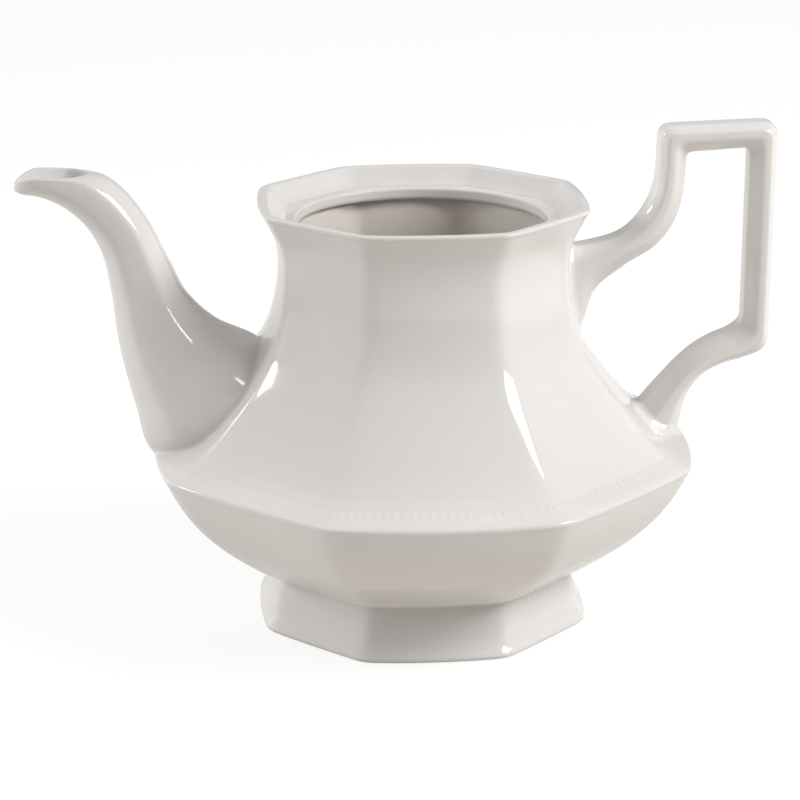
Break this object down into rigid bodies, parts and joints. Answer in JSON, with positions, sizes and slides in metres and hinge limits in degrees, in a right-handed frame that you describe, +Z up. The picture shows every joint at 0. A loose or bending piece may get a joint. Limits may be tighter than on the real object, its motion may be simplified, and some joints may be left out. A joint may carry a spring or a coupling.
{
  "type": "teapot without lid",
  "caption": "Eight-sided white glazed teapot on a pedestal foot, with an S-shaped spout, an angular loop handle, a bead band and an open lid seat.",
  "frame": {"origin": "middle of the foot's resting face, on the body's axis", "axes": "+Z up along the body's axis, +X towards the handle, so the spout points along -X"},
  "size_m": [0.2355, 0.169, 0.1576],
  "materials": {
    "foot": "gloss",
    "body_shell": "gloss",
    "lid_gallery": "gloss",
    "spout": "gloss",
    "handle": "gloss"
  },
  "bodies": {
    "root": {"foot": "foot", "body_shell": "body_shell", "lid_gallery": "lid_gallery", "spout": "spout", "handle": "handle"}
  },
  "joints": []
}
